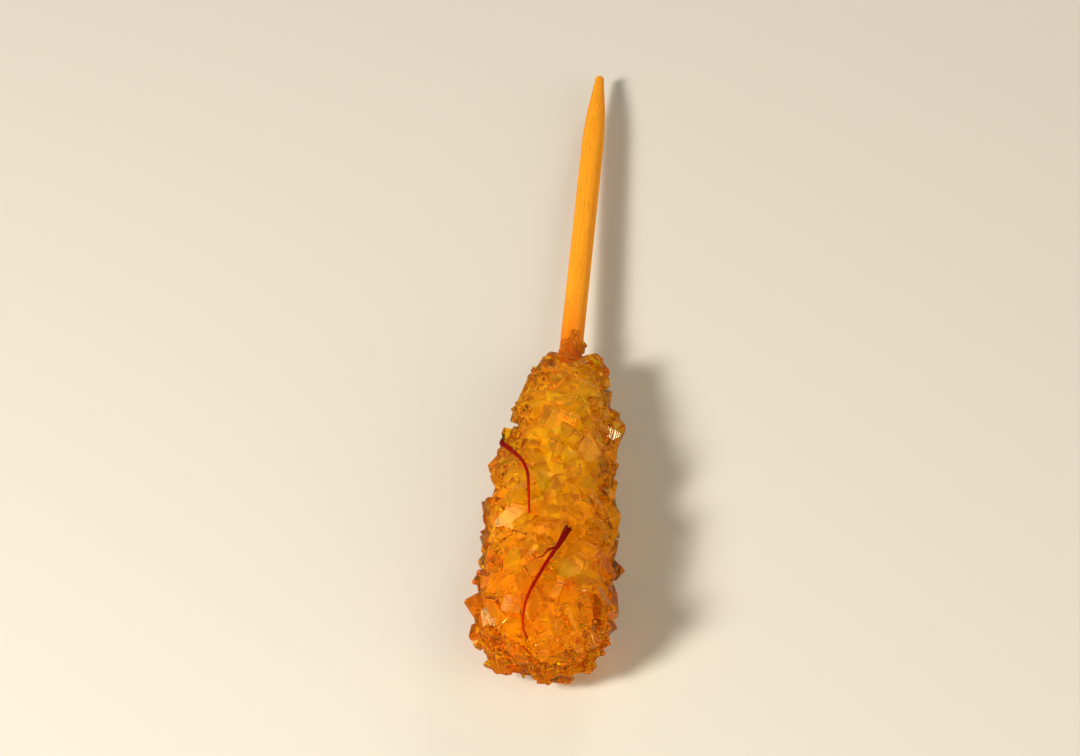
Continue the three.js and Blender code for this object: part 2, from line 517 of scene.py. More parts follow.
@dataclass
class CrystalMaker:
    """Makes single crystals, each drawn by its number from the forms that crystals come in."""

    forms: CrystalForms = CrystalForms()
    twin_size: float = 0.8
    twin_aside: Range = Range(-0.3, 0.3)
    twin_along: Range = Range(0.0, 0.17)
    tint_share: float = 0.5
    # How much paler the tint grows towards the neck, and the stations over which it grows: painted shade
    # that leaves the crystals at the candy's outer end deeper.
    paler: float = 0.6
    painted_shade_paling: Range = Range(8.0, 42.0)
    across_grain: Axes = (0.6, 0.0, 0.8)
    shapes: list[Form] = field(init=False)

    def __post_init__(self) -> None:
        """Makes the forms once for all crystals."""
        self.shapes = [self.forms.form(index) for index in range(self.forms.count)]

    def block(self, layer: CrystalLayer, index: int, twin: bool) -> Matrix:
        """The slanted block that a crystal fills.

        Args:
            layer: The layer that it belongs to.
            index: Its number.
            twin: Whether this is the smaller crystal that has grown from it side by side.

        Returns:
            The matrix that turns a unit cube into the block.
        """
        length = layer.length.at(Purpose.LENGTH.drawn(index))
        width = length * layer.width.at(Purpose.WIDTH.drawn(index))
        thickness = length * layer.thickness.at(Purpose.THICKNESS.drawn(index))
        block = self.forms.slanted(Vector((thickness, length, width)))
        if not twin:
            return block
        aside = self.twin_aside.at(Purpose.TWIN_ASIDE.drawn(index))
        along = self.twin_along.at(Purpose.TWIN_ALONG.drawn(index))
        return block @ Matrix.Translation((aside, along, aside / 2.0)) @ Matrix.Scale(self.twin_size, 4)

    def standing(self, layer: CrystalLayer, index: int, outwards: Vector) -> Matrix:
        """How a crystal stands on the surface under it.

        Args:
            layer: The layer that it belongs to.
            index: Its number.
            outwards: Which way the surface faces.

        Returns:
            The turn from a block that lies along Y, with Z up.
        """
        upright = UP.rotation_difference(outwards).to_matrix().to_4x4()
        heading = Matrix.Rotation(math.tau * Purpose.HEADING.drawn(index), 4, "Z")
        lean = Matrix.Rotation(math.radians(layer.lean.at(Purpose.LEAN.drawn(index))), 4, "X")
        spin = Matrix.Rotation(math.tau * Purpose.SPIN.drawn(index), 4, "Y")
        return upright @ heading @ lean @ spin

    def crystal(self, layer: CrystalLayer, index: int, seat: Seat, twin: bool = False) -> Crystal:
        """One crystal.

        Args:
            layer: The layer that it belongs to.
            index: Its number, which its draws depend on.
            seat: Where it grows.
            twin: Whether this is the smaller crystal that has grown from it side by side.

        Returns:
            The crystal in the skewer's own frame.
        """
        shape = self.shapes[int(Purpose.FORM.drawn(index) * len(self.shapes))]
        turned = self.standing(layer, index, seat.outwards)
        place = Matrix.Translation(seat.middle) @ turned @ self.block(layer, index, twin)
        # Each crystal's tint is its own draw plus painted shade, deeper towards the candy's outer end and
        # paler towards the neck.
        own_tint = self.tint_share * Purpose.TINT.drawn(index)
        return Crystal(
            form=shape.laid(place),
            tint=own_tint + self.paler * self.painted_shade_paling.eased(seat.middle.y),
            frost=Purpose.FROST.drawn(index),
            grain=(turned @ Vector((*self.across_grain, 0.0))).to_3d(),
        )


def clear_groups(shapes: list[np.ndarray]) -> list[list[int]]:
    """Parts shapes into groups in which no shape's box meets another's.

    Args:
        shapes: The points of each shape.

    Returns:
        The numbers of the shapes in each group.
    """
    low = np.array([points.min(0) for points in shapes])
    high = np.array([points.max(0) for points in shapes])
    meets = np.all((low[:, None] < high[None]) & (low[None] < high[:, None]), axis=2)
    groups: list[list[int]] = []
    for number in range(len(shapes)):
        free = next((group for group in groups if not meets[number, group].any()), None)
        if free is None:
            groups.append([number])
        else:
            free.append(number)
    return groups


class Body:
    """A closed mesh in millimetres that crystals are joined to."""

    def __init__(self, name: str) -> None:
        """Starts an empty body under a name."""
        self.piece = bpy.data.objects.new(name, bpy.data.meshes.new(name))
        bpy.context.scene.collection.objects.link(self.piece)

    @property
    def mesh(self) -> bpy.types.Mesh:
        """The body's mesh as it is now."""
        return self.piece.data

    def fill(self, crystals: list[Crystal]) -> "Body":
        """Makes the mesh of crystals that lie clear of each other.

        Args:
            crystals: The crystals, whose faces carry their tint, frost and grain.

        Returns:
            The body itself.
        """
        form = merged([crystal.form for crystal in crystals])
        self.mesh.from_pydata(form.points.tolist(), [], form.faces)
        owners = [crystal for crystal in crystals for _ in crystal.form.faces]
        for name in ("tint", "frost"):
            attribute = self.mesh.attributes.new(name, "FLOAT", "FACE")
            attribute.data.foreach_set("value", [getattr(crystal, name) for crystal in owners])
        attribute = self.mesh.attributes.new("grain", "FLOAT_VECTOR", "FACE")
        attribute.data.foreach_set("vector", [x for crystal in owners for x in crystal.grain])
        return self

    def change(self, other: "Body", how: Change) -> None:
        """Joins or cuts the mesh by another body, which is used up.

        Args:
            other: The body to join or to cut away.
            how: Which of the two.
        """
        step = self.piece.modifiers.new("change", "BOOLEAN")
        step.operation = how.value
        step.object = other.piece
        step.solver = "MANIFOLD"
        graph = bpy.context.evaluated_depsgraph_get()
        changed = bpy.data.meshes.new_from_object(self.piece.evaluated_get(graph))
        self.piece.modifiers.clear()
        old = self.mesh
        self.piece.data = changed
        bpy.data.meshes.remove(old)
        bpy.data.objects.remove(other.piece)

    def join(self, name: str, crystals: list[Crystal]) -> None:
        """Joins crystals to the body, those that lie clear of each other at one time.

        Args:
            name: What they are called in the log.
            crystals: The crystals.
        """
        for group in clear_groups([crystal.form.points for crystal in crystals]):
            self.change(Body("group").fill([crystals[i] for i in group]), Change.JOIN)
        log.info("joined %d %s", len(crystals), name)

    def cut_under_table(self, place: Matrix, size: Axes) -> None:
        """Cuts off what would lie under the table.

        Args:
            place: The matrix from the body's frame to the part's.
            size: The size of the block that is cut away, in metres.
        """
        shape = bmesh.new()
        bmesh.ops.create_cube(shape, size=1.0)
        shape.transform(Matrix.Diagonal((*size, 1.0)) @ Matrix.Translation(-UP * HALF_CUBE))
        shape.transform(place.inverted())
        table = Body("table")
        shape.to_mesh(table.mesh)
        shape.free()
        self.change(table, Change.CUT)

    def keep_largest(self) -> None:
        """Deletes sealed hollows and loose scraps."""
        shape = bmesh.new()
        shape.from_mesh(self.mesh)
        unseen = set(shape.verts)
        shells = []
        while unseen:
            shell = [unseen.pop()]
            for vertex in shell:
                beside = {edge.other_vert(vertex) for edge in vertex.link_edges} & unseen
                unseen -= beside
                shell.extend(beside)
            shells.append(shell)
        for shell in sorted(shells, key=len)[:-1]:
            bmesh.ops.delete(shape, geom=shell, context="VERTS")
        shape.to_mesh(self.mesh)
        shape.free()

    def surface(self) -> BVHTree:
        """The mesh as a surface that rays can meet."""
        points = [vertex.co for vertex in self.mesh.vertices]
        return BVHTree.FromPolygons(points, [face.vertices for face in self.mesh.polygons])


@dataclass(frozen=True)
class Label:
    """A finished piece's name, the solid that it stands for, and the record's material slot."""

    name: str
    node: str
    slot: str

    def dress(self, piece: bpy.types.Object, material: bpy.types.Material) -> bpy.types.Object:
        """Names a piece, gives it its material and sets it in the frame.

        Args:
            piece: The piece, in place.
            material: Its material.

        Returns:
            The piece.
        """
        piece.name = self.name
        piece.data.materials.clear()
        piece.data.materials.append(material)
        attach(piece, "root")
        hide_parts(self.node)
        return piece

    def smooth_piece(
        self, skin: Form, shares: list[float], material: bpy.types.Material
    ) -> bpy.types.Object:
        """Makes and dresses a smooth piece whose points carry how far along it they are.

        Args:
            skin: Its shape, in place.
            shares: How far along each point is.
            material: Its material.

        Returns:
            The piece.
        """
        mesh = bpy.data.meshes.new(self.name)
        mesh.from_pydata(skin.points.tolist(), [], skin.faces)
        mesh.attributes.new("along", "FLOAT", "POINT").data.foreach_set("value", shares)
        mesh.shade_smooth()
        piece = bpy.data.objects.new(self.name, mesh)
        bpy.context.scene.collection.objects.link(piece)
        return self.dress(piece, material)


class Graph:
    """A node tree that is filled one node at a time."""

    def __init__(self, tree: bpy.types.NodeTree) -> None:
        """Starts on a node tree."""
        self.tree = tree

    def add(self, kind: str, inputs: dict | None = None, **settings: object) -> bpy.types.Node:
        """Adds one node.

        Args:
            kind: The node's type, without its ShaderNode.
            inputs: Values or source sockets by the name or number of the input.
            settings: The node's own settings.

        Returns:
            The new node.
        """
        node = self.tree.nodes.new("ShaderNode" + kind)
        for name, value in settings.items():
            setattr(node, name, value)
        for name, value in (inputs or {}).items():
            self.feed(node, name, value)
        return node

    def feed(self, node: bpy.types.Node, name: str | int, value: object) -> None:
        """Sets an input to a value, or links it to a source.

        Args:
            node: The node.
            name: The input's name or number.
            value: A source socket, a number, three numbers or a colour.
        """
        entry = node.inputs[name]
        if isinstance(value, bpy.types.NodeSocket):
            self.tree.links.new(value, entry)
        else:
            entry.default_value = (*value, 1.0) if entry.type == "RGBA" else value

    def here(self) -> bpy.types.NodeSocket:
        """The place on the piece, in metres."""
        return self.add("TexCoord").outputs["Object"]

    def maths(self, operation: str, *values: object) -> bpy.types.NodeSocket:
        """The outcome of one sum."""
        return self.add("Math", dict(enumerate(values)), operation=operation).outputs["Value"]

    def noise(self, where: object, size: object, detail: float) -> bpy.types.NodeSocket:
        """Uneven patches of a size."""
        scale = self.maths("DIVIDE", 1.0, size)
        return self.add("TexNoise", {"Vector": where, "Scale": scale, "Detail": detail}).outputs["Fac"]

    def spread(self, value: object, given: Range, wanted: Range = WHOLE) -> bpy.types.NodeSocket:
        """A value moved from one range to another, and held inside it.

        Args:
            value: The value's socket.
            given: The range that it is moved from.
            wanted: The range that it is moved to.

        Returns:
            The moved value.
        """
        limits = {"From Min": given.least, "From Max": given.most}
        limits |= {"To Min": wanted.least, "To Max": wanted.most}
        return self.add("MapRange", {"Value": value} | limits).outputs["Result"]

    def mixed(
        self, share: object, one: object, other: object, blend: Blend = Blend.COVER
    ) -> bpy.types.NodeSocket:
        """Two colours mixed, by how much of the other one shows."""
        inputs = {"Factor": share, MIX_ONE: one, MIX_OTHER: other}
        return self.add("Mix", inputs, data_type="RGBA", blend_type=blend.value).outputs[MIX_RESULT]

    def toned(
        self, share: object, tones: tuple[object, ...], turns: tuple[Range, ...]
    ) -> bpy.types.NodeSocket:
        """Colours that follow each other as a share grows.

        Args:
            share: The share, from 0 to 1.
            tones: The colours, one more of them than turns.
            turns: The stretches of the share in which each colour turns into the next.

        Returns:
            The colour at the share.
        """
        colour = tones[0]
        for tone, turn in zip(tones[1:], turns):
            colour = self.mixed(self.spread(share, turn), colour, tone)
        return colour


class EffectGraph(Graph):
    """The inside of a shared effect: a node group with named inputs and outputs."""

    def __init__(self, name: str, inputs: dict[str, str], outputs: dict[str, str]) -> None:
        """Starts a node group.

        Args:
            name: The group's name.
            inputs: The kind of each input socket.
            outputs: The kind of each output socket.
        """
        super().__init__(bpy.data.node_groups.new(name, "ShaderNodeTree"))
        for way, sockets in (("INPUT", inputs), ("OUTPUT", outputs)):
            for label, kind in sockets.items():
                self.tree.interface.new_socket(label, in_out=way, socket_type="NodeSocket" + kind)
        self.entry = self.tree.nodes.new("NodeGroupInput")
        self.exit = self.tree.nodes.new("NodeGroupOutput")

    def given(self, name: str) -> bpy.types.NodeSocket:
        """The input under a name."""
        return self.entry.outputs[name]

    def give(self, name: str, value: bpy.types.NodeSocket) -> None:
        """Puts a value out under a name."""
        self.feed(self.exit, name, value)


@dataclass(frozen=True)
class AmberSpread:
    """The colour of sugar: each crystal's tint, with painted shade deeper towards the candy's outer end,
    under slow patches of more and less saffron.
    """

    detail: float = 2.5
    contrast: Range = Range(0.3, 0.7)
    patch_share: float = 0.55
    tint_share: float = 0.45
    amber_at: float = 0.5

    def build(self) -> bpy.types.NodeTree:
        """Builds the effect.

        Returns:
            Its node group.
        """
        inputs = {"Tint": "Float", "Patch Size": "Float"}
        inputs |= {"Deep": "Color", "Amber": "Color", "Pale": "Color"}
        graph = EffectGraph("amber_spread", inputs, {"Colour": "Color"})
        patches = graph.noise(graph.here(), graph.given("Patch Size"), self.detail)
        lifted = graph.spread(patches, self.contrast)
        tinted = graph.maths("MULTIPLY", graph.given("Tint"), self.tint_share)
        share = graph.maths("MULTIPLY_ADD", lifted, self.patch_share, tinted)
        tones = graph.given("Deep"), graph.given("Amber"), graph.given("Pale")
        turns = Range(0.0, self.amber_at), Range(self.amber_at, 1.0)
        graph.give("Colour", graph.toned(share, tones, turns))
        return graph.tree


@dataclass(frozen=True)
class Streaks:
    """Fine lines along one direction, as fibres and growth lines are."""

    drift: float = 3.0
    drift_detail: float = 1.0
    detail: float = 3.0

    def build(self) -> bpy.types.NodeTree:
        """Builds the effect.

        Returns:
            Its node group.
        """
        inputs = {"Across": "Vector", "Width": "Float", "Run": "Float"}
        graph = EffectGraph("streaks", inputs, {"Height": "Float"})
        where = graph.here()
        pair = {0: where, 1: graph.given("Across")}
        across = graph.add("VectorMath", pair, operation="DOT_PRODUCT").outputs["Value"]
        line = graph.maths("DIVIDE", across, graph.given("Width"))
        drift = graph.noise(where, graph.given("Run"), self.drift_detail)
        moved = graph.maths("MULTIPLY_ADD", drift, self.drift, line)
        settings = {"W": moved, "Scale": 1.0, "Detail": self.detail}
        lines = graph.add("TexNoise", settings, noise_dimensions="1D")
        graph.give("Height", lines.outputs["Fac"])
        return graph.tree


@dataclass(frozen=True)
class Grit:
    """Fine uneven grit, as a height and as a mask of scattered specks."""

    detail: float = 4.0
    usual: Range = Range(0.25, 0.75)
    softness: float = 0.1

    def build(self) -> bpy.types.NodeTree:
        """Builds the effect.

        Returns:
            Its node group.
        """
        inputs = {"Size": "Float", "Cover": "Float", "Squeeze": "Vector"}
        graph = EffectGraph("grit", inputs, {"Height": "Float", "Specks": "Float"})
        pair = {0: graph.here(), 1: graph.given("Squeeze")}
        where = graph.add("VectorMath", pair, operation="MULTIPLY").outputs["Vector"]
        height = graph.noise(where, graph.given("Size"), self.detail)
        bare = graph.maths("SUBTRACT", 1.0, graph.given("Cover"))
        level = graph.maths("MULTIPLY_ADD", bare, self.usual.span, self.usual.least)
        above = graph.maths("SUBTRACT", height, level)
        graph.give("Height", height)
        graph.give("Specks", graph.spread(above, Range(0.0, self.softness)))
        return graph.tree


class Effects:
    """The surface effects that more than one finish uses, each a node group built once."""

    def __init__(self) -> None:
        """Builds the groups."""
        self.amber_spread = AmberSpread().build()
        self.streaks = Streaks().build()
        self.grit = Grit().build()


class Finish(Graph):
    """A material under way: the graph of its nodes, its shader and its output."""

    def __init__(self, name: str) -> None:
        """Starts a material under a name."""
        self.material = bpy.data.materials.new(name)
        self.material.use_nodes = True
        super().__init__(self.material.node_tree)
        self.shader = self.tree.nodes["Principled BSDF"]
        self.output = self.tree.nodes["Material Output"]

    def effect(self, group: bpy.types.NodeTree, inputs: dict) -> bpy.types.bpy_prop_collection:
        """The outputs of one of the shared effects, placed with its own values."""
        return self.add("Group", inputs, node_tree=group).outputs

    def attribute(self, name: str, output: str = "Fac") -> bpy.types.NodeSocket:
        """What the mesh's faces or points carry under a name."""
        return self.add("Attribute", attribute_name=name).outputs[output]

    def set(self, values: dict[str, object]) -> None:
        """Sets or links the shader's inputs."""
        for name, value in values.items():
            self.feed(self.shader, name, value)

    def relief(self, height: bpy.types.NodeSocket, depth: float) -> None:
        """Gives the shader a relief of a real depth."""
        bump = self.add("Bump", {"Height": height, "Distance": depth})
        self.set({"Normal": bump.outputs["Normal"]})


@dataclass(frozen=True)
class AmberTones:
    """A sugar's three colours, and the size of the patches of them."""

    pale: Colour
    amber: Colour
    deep: Colour
    patch: float

    def on(self, finish: Finish, effects: Effects) -> bpy.types.NodeSocket:
        """Their colour on a finish.

        Args:
            finish: The finish.
            effects: The shared effects.

        Returns:
            The colour.
        """
        inputs = {"Tint": finish.attribute("tint"), "Patch Size": self.patch}
        inputs |= {"Deep": self.deep, "Amber": self.amber, "Pale": self.pale}
        return finish.effect(effects.amber_spread, inputs)["Colour"]


@dataclass(frozen=True)
class Lines:
    """Fine lines: how wide they are, and how far they run before they shift."""

    width: float
    run: float

    def on(self, finish: Finish, effects: Effects, across: object) -> bpy.types.NodeSocket:
        """Their height on a finish, side by side in one direction."""
        inputs = {"Across": across, "Width": self.width, "Run": self.run}
        return finish.effect(effects.streaks, inputs)["Height"]


@dataclass(frozen=True)
class Specks:
    """Fine grit: its size, how much of it is specks, and its squeeze along each axis."""

    size: float
    cover: float = 0.5
    squeeze: Axes = (1.0, 1.0, 1.0)

    def on(self, finish: Finish, effects: Effects) -> bpy.types.bpy_prop_collection:
        """Its height and its specks on a finish."""
        inputs = {"Size": self.size, "Cover": self.cover, "Squeeze": self.squeeze}
        return finish.effect(effects.grit, inputs)


@dataclass(frozen=True)
class ClearSugar:
    """Clear amber sugar, as the outer crystals are: see-through, glossy and yellow where thin."""

    tones: AmberTones = AmberTones(
        pale=(1.0, 0.86, 0.12),
        amber=(1.0, 0.72, 0.05),
        deep=(0.98, 0.50, 0.015),
        patch=0.012,
    )
    frosting: Range = Range(0.3, 1.0)
    gloss: Range = Range(0.02, 0.2)
    clearness: float = 0.95
    index: float = 1.5
    # Specular Tint: the sugar's reflections are tinted gold, a painted reflection of golden surroundings;
    # plain sugar mirrors the lamps white.
    painted_gold_reflection: Colour = (1.0, 0.74, 0.24)
    kept_light: Colour = (0.999, 0.944, 0.0)
    density: float = 1200.0
    steps: Lines = Lines(width=0.0005, run=0.006)
    step_depth: float = 0.00001

    def material(self, effects: Effects) -> bpy.types.Material:
        """Builds the material.

        Args:
            effects: The shared effects.

        Returns:
            The material.
        """
        finish = Finish("clear_sugar")
        colour = self.tones.on(finish, effects)
        rough = finish.spread(finish.attribute("frost"), self.frosting, self.gloss)
        grain = finish.attribute("grain", "Vector")
        finish.relief(self.steps.on(finish, effects, grain), self.step_depth)
        finish.set({"Base Color": colour, "Roughness": rough, "IOR": self.index})
        finish.set({"Transmission Weight": self.clearness, "Specular Tint": self.painted_gold_reflection})
        inside = finish.add("VolumeAbsorption", {"Color": self.kept_light, "Density": self.density})
        finish.feed(finish.output, "Volume", inside.outputs["Volume"])
        return finish.material


@dataclass(frozen=True)
class CloudySugar:
    """Cloudy sugar, as the grown-together middle is: it scatters light and hides what is in it."""

    tones: AmberTones = AmberTones(
        pale=(1.0, 0.89, 0.04),
        amber=(1.0, 0.74, 0.015),
        deep=(0.98, 0.52, 0.008),
        patch=0.016,
    )
    roughness: float = 0.4
    grit: Specks = Specks(size=0.0008)
    grit_depth: float = 0.00008

    def material(self, effects: Effects) -> bpy.types.Material:
        """Builds the material.

        Args:
            effects: The shared effects.

        Returns:
            The material.
        """
        finish = Finish("cloudy_sugar")
        finish.relief(self.grit.on(finish, effects)["Height"], self.grit_depth)
        finish.set({"Base Color": self.tones.on(finish, effects), "Roughness": self.roughness})
        return finish.material


@dataclass(frozen=True)
class Saffron:
    """Dry saffron: deep red, paler and more orange towards the thin end, and finely uneven."""

    tones: tuple[Colour, ...] = ((0.12, 0.002, 0.001), (0.28, 0.003, 0.001), (0.40, 0.022, 0.001))
    turns: tuple[Range, ...] = (Range(0.0, 0.5), Range(0.6, 1.0))
    sheen: float = 0.06
    roughness: float = 0.55
    grit: Specks = Specks(size=0.0003, cover=0.3)
    grit_depth: float = 0.00005

    def material(self, effects: Effects) -> bpy.types.Material:
        """Builds the material.

        Args:
            effects: The shared effects.

        Returns:
            The material.
        """
        finish = Finish("saffron")
        colour = finish.toned(finish.attribute("along"), self.tones, self.turns)
        grit = self.grit.on(finish, effects)
        finish.relief(grit["Height"], self.grit_depth)
        finish.set({"Base Color": finish.mixed(grit["Specks"], colour, self.tones[0])})
        finish.set({"Roughness": self.roughness, "Specular IOR Level": self.sheen})
        return finish.material


@dataclass(frozen=True)
class Wood:
    """Pale skewer wood: fine grain along its length, stained and shiny with syrup near the candy.

    The stain's reach and its raggedness are in millimetres along the skewer.
    """

    light: Colour = (0.96, 0.41, 0.022)
    dark: Colour = (0.79, 0.25, 0.01)
    pore: Colour = (0.36, 0.10, 0.008)
    syrup: Colour = (0.90, 0.45, 0.06)
    sideways: Axes = (1.0, 0.0, 0.0)
    upwards: Axes = (0.0, 0.045, 0.999)
    aslant: Axes = (0.7, 0.03, 0.7)
    fibres: Lines = Lines(width=0.00013, run=0.012)
    fibre_share: float = 1.4
    fibre_depth: float = 0.00009
    bands: Lines = Lines(width=0.0008, run=0.03)
    band_share: float = 0.6
    contrast: Range = Range(0.4, 0.95)
    pores: Specks = Specks(size=0.00011, cover=0.24, squeeze=(1.0, 0.03, 1.0))
    pore_strength: float = 0.38
    stain: Range = Range(70.0, 88.0)
    stain_edge: Specks = Specks(size=0.0012)
    stain_ragged: float = 8.0
    roughness: Range = Range(0.66, 0.2)
    sheen: float = 0.12

    def material(self, effects: Effects) -> bpy.types.Material:
        """Builds the material.

        Args:
            effects: The shared effects.

        Returns:
            The material.
        """
        finish = Finish("skewer_wood")
        lines = [self.fibres.on(finish, effects, across) for across in (self.sideways, self.upwards)]
        fibres = finish.maths("MULTIPLY", *lines)
        bands = self.bands.on(finish, effects, self.aslant)
        fine = finish.maths("MULTIPLY", fibres, self.fibre_share)
        grain = finish.maths("MULTIPLY_ADD", bands, self.band_share, fine)
        plain = finish.mixed(finish.spread(grain, self.contrast), self.dark, self.light)
        specks = self.pores.on(finish, effects)["Specks"]
        pored = finish.mixed(finish.maths("MULTIPLY", specks, self.pore_strength), plain, self.pore)
        edge = self.stain_edge.on(finish, effects)["Height"]
        uneven = finish.maths("MULTIPLY_ADD", edge, self.stain_ragged, finish.attribute("along"))
        stained = finish.spread(uneven, self.stain, Range(1.0, 0.0))
        soaked = finish.mixed(1.0, pored, self.syrup, Blend.SOAK)
        finish.relief(finish.maths("SUBTRACT", fibres, specks), self.fibre_depth)
        finish.set({"Base Color": finish.mixed(stained, pored, soaked)})
        finish.set({"Roughness": finish.spread(stained, WHOLE, self.roughness)})
        finish.set({"Specular IOR Level": self.sheen})
        return finish.material


@dataclass
class Neck:
    """What has dried on the skewer just past the candy: a film of syrup and small crystals."""

    skewer: SkewerForm
    maker: CrystalMaker
    layer: CrystalLayer = CrystalLayer(
        name="neck crystals",
        count=110,
        first=8000,
        length=Range(0.7, 1.7),
        width=Range(0.5, 0.85),
        thickness=Range(0.45, 0.75),
        lean=Range(-40.0, 40.0),
        sink=Range(0.0, 0.35),
    )
    reach: Range = Range(62.0, 73.0)
    thinning: float = 1.7
    film: float = 0.06
    film_reach: Range = Range(50.0, 71.0)
    film_edge: tuple[Wave, ...] = (Wave(1.0, 2.0, phase=0.7), Wave(0.6, 5.0, phase=2.1))
    film_fade: Range = Range(0.75, 1.0)
    film_rings: int = 14
    film_sides: int = 36
    film_tint: float = 0.6
    film_frost: float = 0.4

    def syrup(self) -> Crystal:
        """The film of dried syrup that has crept along the skewer, out of the candy.

        Returns:
            The film, as one closed shape of sugar.
        """
        rings = []
        for step in range(self.film_rings):
            share = step / (self.film_rings - 1)
            radius = self.skewer.radius + self.film - self.film * self.film_fade.share(share) ** 2
            ring = []
            for side in range(self.film_sides):
                angle = math.tau * side / self.film_sides
                ragged = sum(wave.height(angle) for wave in self.film_edge)
                ring.append(off_middle(self.film_reach.at(share) + ragged * share, angle, radius))
            rings.append(ring)
        caps = [sum(ring, Vector()) / len(ring) for ring in (rings[0], rings[-1])]
        return Crystal(tube(rings, *caps), self.film_tint, self.film_frost, UP)

    def grains(self) -> list[Crystal]:
        """The small crystals on the skewer, fewer the further out.

        Returns:
            The crystals.
        """
        made = []
        for index in range(self.layer.first, self.layer.first + self.layer.count):
            angle = index * GOLDEN_ANGLE + self.layer.jitter * Purpose.JITTER.drawn(index)
            station = self.reach.at(Purpose.HEIGHT.drawn(index) ** self.thinning)
            outwards = Vector((math.cos(angle), 0.0, math.sin(angle)))
            sunk = self.skewer.radius - self.layer.sink.at(Purpose.SINK.drawn(index))
            seat = Seat(outwards * sunk + Vector((0.0, station, 0.0)), outwards)
            made.append(self.maker.crystal(self.layer, index, seat))
        return made


@dataclass
class CandyCluster:
    """The candy: clear sugar crystals of many sizes over a cloudy, grown-together middle."""

    form: CandyForm
    place: Matrix
    maker: CrystalMaker
    neck: Neck
    rings: int = 30
    spokes: int = 36
    core_depth: float = 2.1
    middle_depth: float = 3.3
    core_tint: float = 0.3
    core_frost: float = 0.5
    reach: float = 8.0
    overhang: float = 0.00001
    table: Axes = (0.3, 0.3, 0.02)
    large: CrystalLayer = CrystalLayer(
        name="large crystals",
        count=216,
        first=0,
        length=Range(4.2, 7.0),
        width=Range(0.6, 0.84),
        thickness=Range(0.5, 0.7),
        lean=Range(-24.0, 32.0),
        depth=1.75,
        twins=0.6,
    )
    sprouting: tuple[CrystalLayer, ...] = (
        CrystalLayer(
            name="medium crystals",
            count=420,
            first=1000,
            length=Range(2.6, 4.6),
            width=Range(0.55, 0.85),
            thickness=Range(0.5, 0.75),
            lean=Range(-35.0, 45.0),
            sink=Range(0.2, 0.9),
        ),
        CrystalLayer(
            name="fine crystals",
            count=320,
            first=3000,
            length=Range(1.1, 2.2),
            width=Range(0.55, 0.9),
            thickness=Range(0.45, 0.8),
            lean=Range(-50.0, 60.0),
        ),
    )
    bed: CrystalLayer = CrystalLayer(
        name="crystals under the threads",
        first=9000,
        length=Range(1.7, 2.5),
        width=Range(0.6, 0.85),
        thickness=Range(0.5, 0.8),
        lean=Range(-30.0, 30.0),
    )
    buried: CrystalLayer = CrystalLayer(
        name="buried crystals",
        count=200,
        first=6000,
        length=Range(3.0, 5.0),
        width=Range(0.6, 0.84),
        thickness=Range(0.5, 0.7),
        lean=Range(-30.0, 30.0),
        depth=3.6,
    )
    middle_label: Label = Label("sugar_middle", "crystals", "sugar")
    crystals_label: Label = Label("sugar_crystals", "crystals", "sugar")

    def rounded(self, depth: float) -> Crystal:
        """The candy's smooth form as one closed shape of sugar.

        Args:
            depth: How far under the candy's outer surface it lies.

        Returns:
            The shape.
        """
        turns = [math.tau * spoke / self.spokes for spoke in range(self.spokes)]
        rings = [
            [self.form.point(ring / self.rings, turn, depth) for turn in turns]
            for ring in range(1, self.rings)
        ]
        caps = Vector((0.0, depth, 0.0)), Vector((0.0, self.form.length - depth, 0.0))
        return Crystal(tube(rings, *caps).inside_out(), self.core_tint, self.core_frost, UP)

    def bedded(self, layer: CrystalLayer) -> list[Crystal]:
        """A layer's crystals at its depth under the candy's outer surface.

        Args:
            layer: The layer.

        Returns:
            The crystals.
        """
        made = []
        for number, share in enumerate(self.form.even_shares(layer.count)):
            index = layer.first + number
            angle = index * GOLDEN_ANGLE
            seat = Seat(self.form.point(share, angle, layer.depth), self.form.normal(share, angle))
            made.append(self.maker.crystal(layer, index, seat))
            if Purpose.TWIN.drawn(index) < layer.twins:
                made.append(self.maker.crystal(layer, index, seat, twin=True))
        return made

    def sprouts(self, layer: CrystalLayer, surface: BVHTree) -> list[Crystal]:
        """A layer's crystals where they grow on what is there already, most of them in hollows.

        Args:
            layer: The layer.
            surface: The surface that they grow on.

        Returns:
            The crystals, without those that would reach under the table or out of the frame.
        """
        low, high = (np.array(corner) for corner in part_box("crystals"))
        grown = []
        for number, share in enumerate(self.form.even_shares(layer.count)):
            index = layer.first + number
            angle = index * GOLDEN_ANGLE + layer.jitter * Purpose.JITTER.drawn(index)
            start = self.form.point(share, angle, -self.reach)
            found, outwards, _, distance = surface.ray_cast(start, -self.form.normal(share, angle))
            highest = layer.highest.at(Purpose.HEIGHT.drawn(index))
            if found is None or self.reach - distance > highest:
                continue
            sunk = outwards * layer.sink.at(Purpose.SINK.drawn(index))
            made = self.maker.crystal(layer, index, Seat(found - sunk, outwards))
            corners = made.form.laid(self.place).points
            inside = corners.min(0) > low - self.overhang, corners.max(0) < high + self.overhang
            if np.all(inside):
                grown.append(made)
        return grown

    def under_threads(self, threads: "SaffronThreads", surface: BVHTree) -> list[Crystal]:
        """The crystals that have grown on a surface under the threads."""
        seats = enumerate(threads.seats(surface), start=self.bed.first)
        return [self.maker.crystal(self.bed, index, seat) for index, seat in seats]

    def build_middle(self, effects: Effects) -> bpy.types.Object:
        """Builds and dresses the cloudy middle.

        Args:
            effects: The shared effects.

        Returns:
            The piece.
        """
        body = Body("middle").fill([self.rounded(self.middle_depth)])
        body.join(self.buried.name, self.bedded(self.buried))
        body.keep_largest()
        body.mesh.transform(self.place)
        return self.middle_label.dress(body.piece, CloudySugar().material(effects))

